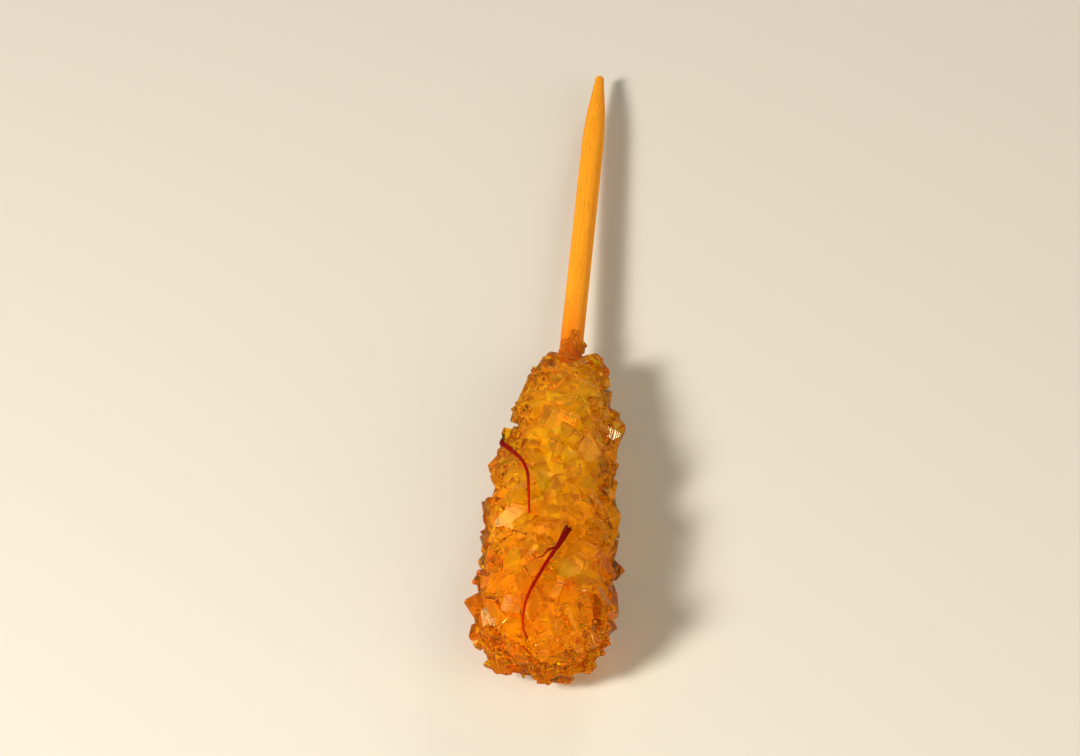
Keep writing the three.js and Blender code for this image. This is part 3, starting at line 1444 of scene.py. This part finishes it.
    def build_crystals(
        self, effects: Effects, threads: "SaffronThreads"
    ) -> tuple[bpy.types.Object, BVHTree]:
        """Builds and dresses the clear crystals.

        Args:
            effects: The shared effects.
            threads: The threads that some of the crystals have grown under.

        Returns:
            The piece, and its surface in the skewer's own frame.
        """
        body = Body("crystals").fill([self.rounded(self.core_depth)])
        body.join(self.large.name, self.bedded(self.large))
        for layer in self.sprouting:
            body.join(layer.name, self.sprouts(layer, body.surface()))
        body.join(self.bed.name, self.under_threads(threads, body.surface()))
        body.join("syrup film", [self.neck.syrup()])
        body.join(self.neck.layer.name, self.neck.grains())
        body.cut_under_table(self.place, self.table)
        body.keep_largest()
        surface = body.surface()
        body.mesh.transform(self.place)
        return self.crystals_label.dress(body.piece, ClearSugar().material(effects)), surface


@dataclass(frozen=True)
class Run:
    """Where one saffron thread lies, from its flared end to its thin end.

    A place is a station and the degrees round the skewer, 90 being the top. The bow is how far the
    thread's middle is bent aside, in radians round the skewer.
    """

    flared: tuple[float, float]
    thin: tuple[float, float]
    bow: float
    size: float = 1.0


@dataclass
class SaffronThreads:
    """Saffron threads that lie in the candy's surface, partly grown over by its crystals."""

    form: CandyForm
    place: Matrix
    steps: int = 56
    sides: int = 16
    radius: Range = Range(0.2, 0.37)
    flare_radius: float = 0.7
    flare_share: float = 0.36
    flare_curve: float = 2.2
    flare_inset: float = 1.2
    flatness: float = 0.5
    fringe: float = 0.3
    fringe_curve: float = 4.0
    fringe_turn: float = 2.4
    crinkle: float = 0.08
    crinkle_turns: float = 60.0
    groove: float = 0.55
    groove_curve: float = 8.0
    sink: float = 0.12
    wander: float = 0.016
    wander_turns: float = 9.0
    wander_phase: float = 2.3
    smoothing: int = 15
    bridging: int = 7
    bed_every: int = 4
    bed_depth: float = 1.15
    reach: float = 8.0
    label: Label = Label("saffron_threads", "crystals", "saffron")
    runs: tuple[Run, ...] = (
        Run((46.0, 172.0), (23.0, 109.0), -0.34),
        Run((18.5, 73.0), (0.05, 113.0), -0.02),
        Run((13.9, 82.0), (11.0, 100.0), -0.03, 0.5),
        Run((57.0, 200.0), (48.0, 232.0), -0.14),
        Run((50.0, -6.0), (37.0, -30.0), 0.1),
        Run((24.0, -20.0), (12.0, -44.0), -0.12),
        Run((14.0, 205.0), (25.0, 240.0), 0.12),
        Run((31.0, 262.0), (45.0, 290.0), -0.12),
    )

    def route(self, run: Run, number: int) -> list[tuple[float, float]]:
        """Where a thread runs on the candy's smooth form.

        Args:
            run: Where the thread lies.
            number: Which thread.

        Returns:
            The share of the outline and the angle round the skewer at each step.
        """
        places = []
        for along in np.linspace(0.0, 1.0, self.steps):
            station, degrees = (Range(*ends).at(along) for ends in zip(run.flared, run.thin))
            wander = self.wander * math.sin(along * self.wander_turns + number * self.wander_phase)
            angle = math.radians(degrees) + run.bow * math.sin(math.pi * along) + wander
            places.append((self.form.share_at(station), angle))
        return places

    def smoothed(self, heights: np.ndarray, steps: int) -> np.ndarray:
        """Heights along a thread, evened out over a number of steps."""
        window = np.hanning(steps + 2)[1:-1]
        return np.convolve(np.pad(heights, steps // 2, mode="edge"), window / window.sum(), mode="valid")

    def bridged(self, depths: np.ndarray) -> np.ndarray:
        """The least depth near each step, as a stiff thread spans hollows."""
        spans = np.pad(depths, self.bridging // 2, mode="edge")
        return np.lib.stride_tricks.sliding_window_view(spans, self.bridging).min(axis=1)

    def depth(self, surface: BVHTree, start: Vector, inwards: Vector) -> float:
        """How deep under a point a surface lies, or the whole reach where there is none."""
        _, _, _, distance = surface.ray_cast(start, inwards)
        return self.reach if distance is None else distance

    def line(self, run: Run, number: int, surface: BVHTree) -> list[Vector]:
        """The line that a thread's middle follows over the crystals, clear of the table.

        Args:
            run: Where the thread lies.
            number: Which thread.
            surface: The crystals' surface.

        Returns:
            Points along the line, from the flared end to the thin end.
        """
        route = self.route(run, number)
        outs = [self.form.normal(*at) for at in route]
        starts = [self.form.point(*at) + out * self.reach for at, out in zip(route, outs)]
        depths = np.array([self.depth(surface, start, -out) for start, out in zip(starts, outs)])
        over = np.minimum(self.smoothed(self.bridged(depths), self.smoothing), depths + self.sink)
        levels = self.smoothed(over, self.bridging)
        points = [self.place @ (start - out * level) for start, out, level in zip(starts, outs, levels)]
        back = self.place.inverted()
        lowest = self.flare_radius * MM
        return [back @ Vector((point.x, point.y, max(point.z, lowest))) for point in points]

    def seats(self, surface: BVHTree) -> list[Seat]:
        """Where sugar has grown under the threads, so that they lie on it all along.

        Args:
            surface: The crystals' surface.

        Returns:
            Where each such crystal grows.
        """
        seats = []
        for number, run in enumerate(self.runs):
            steps = list(zip(self.route(run, number), self.line(run, number, surface)))
            for at, point in steps[:: self.bed_every]:
                outwards = self.form.normal(*at)
                seats.append(Seat(point - outwards * self.bed_depth, outwards))
        return seats

    def ring(self, run: Run, number: int, along: float, middle: Vector, ahead: Vector) -> list[Vector]:
        """One ring of a thread's skin.

        Args:
            run: Where the thread lies.
            number: Which thread.
            along: How far along it the ring is, from 0 to 1.
            middle: The ring's middle.
            ahead: Which way the thread runs there.

        Returns:
            The ring's points.
        """
        side = ahead.cross(Vector((middle.x, 0.0, middle.z))).normalized()
        top = ahead.cross(side)
        flare = max(0.0, 1.0 - along / self.flare_share) ** self.flare_curve
        crinkle = self.crinkle * math.sin(along * self.crinkle_turns + number)
        plain = self.radius.at(1.0 - along) * (1.0 + crinkle)
        wide = run.size * (plain + (self.flare_radius - plain) * flare)
        thick = run.size * (plain + (self.flare_radius * self.flatness - plain) * flare)
        points = []
        for corner in range(self.sides):
            turn = math.tau * corner / self.sides
            grooved = 1.0 - self.groove * max(0.0, math.sin(turn)) ** self.groove_curve
            offset = side * math.cos(turn) * wide + top * math.sin(turn) * thick * grooved
            ragged = self.fringe * flare ** self.fringe_curve * math.sin(corner * self.fringe_turn + number)
            points.append(middle + offset - ahead * ragged)
        return points

    def thread(self, run: Run, number: int, surface: BVHTree) -> tuple[Form, list[float]]:
        """One thread.

        Args:
            run: Where the thread lies.
            number: Which thread.
            surface: The crystals' surface.

        Returns:
            The thread's skin, and how far along it each of its points is.
        """
        line = self.line(run, number, surface)
        last = self.steps - 1
        rings, shares = [], [0.0]
        for step, middle in enumerate(line):
            along = step / last
            ahead = (line[min(step + 1, last)] - line[max(step - 1, 0)]).normalized()
            rings.append(self.ring(run, number, along, middle, ahead))
            shares.extend([along] * self.sides)
        inset = (line[1] - line[0]).normalized() * self.flare_radius * self.flare_inset
        return tube(rings, line[0] + inset, line[-1]), [*shares, 1.0]

    def build(self, effects: Effects, surface: BVHTree) -> bpy.types.Object:
        """Builds and dresses the threads as one piece.

        Args:
            effects: The shared effects.
            surface: The crystals' surface.

        Returns:
            The piece.
        """
        threads = [self.thread(run, number, surface) for number, run in enumerate(self.runs)]
        skin = merged([form for form, _ in threads]).laid(self.place)
        shares = [share for _, along in threads for share in along]
        return self.label.smooth_piece(skin, shares, Saffron().material(effects))


@dataclass
class Skewer:
    """The wooden skewer: a round stick with fine fibres and a turned, blunt-tipped point."""

    form: SkewerForm
    place: Matrix
    sides: int = 48
    rings: int = 150
    tip_rings: int = 120
    tip_lead: float = 1.5
    rounding: float = 1.2
    rounding_steps: int = 5
    ridges: tuple[Wave, Wave] = (Wave(1.0, 19.0, 1.1), Wave(1.0, 8.0, -0.5))
    swell: Wave = Wave(0.6, 3.0, 0.31)
    fibre_depth: float = 0.012
    fibre_level: float = 0.5
    fibre_swing: float = 0.4
    turned_depth: float = 0.006
    turned_rings: float = 14.0
    edge: float = 0.16
    label: Label = Label("skewer", "stick", "wood")

    def stations(self) -> list[float]:
        """Where the rings are.

        Returns:
            Their stations, closer together along the point.
        """
        lead = self.form.end - self.form.point_length - self.tip_lead
        body = np.linspace(self.form.start, lead, self.rings, endpoint=False)
        point = np.linspace(lead, self.form.end - self.edge, self.tip_rings)
        return [*body, *point]

    def radius(self, station: float, turn: float) -> float:
        """The radius at a place, with its corners rounded and the fibres' relief.

        Args:
            station: Distance from the candy's outer end.
            turn: Turn round the skewer in radians.

        Returns:
            The radius.
        """
        parts = np.linspace(-1.0, 1.0, self.rounding_steps)
        nearby = [self.form.radius_at(station + self.rounding * part) for part in parts]
        ridge, other_ridge = (wave.height(turn, station) for wave in self.ridges)
        fibres = ridge * other_ridge + self.swell.height(turn, station)
        relief = self.fibre_depth * (self.fibre_level + self.fibre_swing * fibres)
        on_point = nearby[0] < self.form.radius
        turned = self.turned_depth * math.sin(station * self.turned_rings) if on_point else 0.0
        return sum(nearby) / len(nearby) - relief - turned

    def ring(self, station: float, inset: float = 0.0) -> list[Vector]:
        """One ring of the skewer's skin, drawn in by an inset, as at the tip's rounded edge."""
        turns = [math.tau * side / self.sides for side in range(self.sides)]
        return [off_middle(station, turn, self.radius(station, turn) - inset) for turn in turns]

    def build(self, effects: Effects) -> bpy.types.Object:
        """Builds and dresses the skewer.

        Args:
            effects: The shared effects.

        Returns:
            The piece.
        """
        start, end = self.form.start, self.form.end
        stations = self.stations()
        rings = [self.ring(station) for station in stations] + [self.ring(end, self.edge)]
        shares = [start, *np.repeat([*stations, end], self.sides), end]
        skin = tube(rings, Vector((0.0, start, 0.0)), Vector((0.0, end, 0.0)))
        return self.label.smooth_piece(skin.laid(self.place), shares, Wood().material(effects))


@dataclass(frozen=True)
class Lamp:
    """A square lamp that faces the object, and whether glossy faces mirror it."""

    name: str
    place: Axes
    size: float
    power: float
    colour: Colour = (1.0, 0.95, 0.87)
    mirrored: bool = True

    def hang(self) -> None:
        """Hangs the lamp."""
        data = bpy.data.lights.new(self.name, "AREA")
        data.size = self.size
        data.energy = self.power
        data.color = self.colour
        hung = bpy.data.objects.new(self.name, data)
        hung.location = self.place
        hung.rotation_euler = (-Vector(self.place)).to_track_quat("-Z", "Y").to_euler()
        hung.visible_glossy = self.mirrored
        bpy.context.scene.collection.objects.link(hung)


@dataclass
class Studio:
    """The pale floor, the soft lights and the camera."""

    floor_size: float = 1.5
    floor_gap: float = 0.00005
    floor_colour: Colour = (0.64, 0.61, 0.54)
    floor_roughness: float = 0.6
    sky: Colour = (1.0, 0.95, 0.88)
    sky_strength: float = 0.12
    azimuth: float = 4.5
    elevation: float = 46.5
    distance: float = 0.672
    near_share: float = 0.02
    aim: Axes = (-0.0046, -0.0107, 0.0)
    lens: float = 132.0
    sensor: float = 36.0
    bounces: int = 24
    lamps: tuple[Lamp, ...] = (
        Lamp("key", (-0.46, -0.46, 0.52), 0.21, 8.2, mirrored=False),
        Lamp("key_sparkle", (-0.455, -0.455, 0.515), 0.08, 1.4),
        Lamp("fill", (0.52, -0.5, 0.36), 0.9, 5.0, (1.0, 0.88, 0.66)),
        Lamp("back", (0.16, 0.66, 0.26), 0.2, 1.3, mirrored=False),
        Lamp("back_sparkle", (0.155, 0.65, 0.255), 0.08, 0.3),
    )

    def floor(self) -> None:
        """Lays the pale floor, which glossy faces don't mirror."""
        shape = bmesh.new()
        lowered = Matrix.Translation(-UP * self.floor_gap)
        bmesh.ops.create_grid(shape, x_segments=1, y_segments=1, size=self.floor_size, matrix=lowered)
        mesh = bpy.data.meshes.new("floor")
        shape.to_mesh(mesh)
        shape.free()
        paint = Finish("floor_paint")
        paint.set({"Base Color": self.floor_colour, "Roughness": self.floor_roughness})
        mesh.materials.append(paint.material)
        floor = bpy.data.objects.new("floor", mesh)
        floor.visible_glossy = False
        bpy.context.scene.collection.objects.link(floor)
        floor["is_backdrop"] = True

    def light(self) -> None:
        """Hangs the lamps and lights the sky."""
        for lamp in self.lamps:
            lamp.hang()
        world = bpy.data.worlds.new("sky")
        world.use_nodes = True
        graph = Graph(world.node_tree)
        background = world.node_tree.nodes["Background"]
        graph.feed(background, "Color", self.sky)
        graph.feed(background, "Strength", self.sky_strength)
        bpy.context.scene.world = world

    def look(self) -> None:
        """Sets how light is shown, and how often it may be bent inside the crystals."""
        scene = bpy.context.scene
        scene.view_settings.view_transform = "Standard"
        for kind in ("max", "glossy", "transmission", "diffuse"):
            setattr(scene.cycles, kind + "_bounces", self.bounces)

    def camera(self, target: Vector) -> None:
        """Sets up the camera.

        Args:
            target: The point that it looks at.
        """
        data = bpy.data.cameras.new("camera")
        data.sensor_width = self.sensor
        data.lens = self.lens
        data.clip_start = self.distance * self.near_share
        azimuth, elevation = math.radians(self.azimuth), math.radians(self.elevation)
        flat = math.cos(elevation)
        back = Vector((math.sin(azimuth) * flat, -math.cos(azimuth) * flat, math.sin(elevation)))
        camera = bpy.data.objects.new("camera", data)
        camera.location = target + back * self.distance
        camera.rotation_euler = (-back).to_track_quat("-Z", "Y").to_euler()
        bpy.context.scene.collection.objects.link(camera)
        bpy.context.scene.camera = camera

    def build(self, middle: Vector) -> None:
        """Builds the whole studio round the object's middle."""
        self.floor()
        self.light()
        self.look()
        self.camera(middle + Vector(self.aim))


def main() -> None:
    """Builds the studio and every piece in order."""
    logging.basicConfig(level=logging.INFO, format="%(name)s: %(message)s")
    low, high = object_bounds()
    Studio().build((low + high) / 2.0)
    effects = Effects()
    skewer = SkewerForm()
    candy = CandyForm()
    place = Lying().place(skewer)
    maker = CrystalMaker()
    threads = SaffronThreads(candy, place)
    cluster = CandyCluster(candy, place, maker, Neck(skewer, maker))
    middle = cluster.build_middle(effects)
    crystals, surface = cluster.build_crystals(effects, threads)
    saffron = threads.build(effects, surface)
    stick = Skewer(skewer, place).build(effects)
    for piece in (middle, crystals, saffron, stick):
        log.info("%s: %d faces", piece.name, len(piece.data.polygons))


if __name__ == "__main__":
    main()
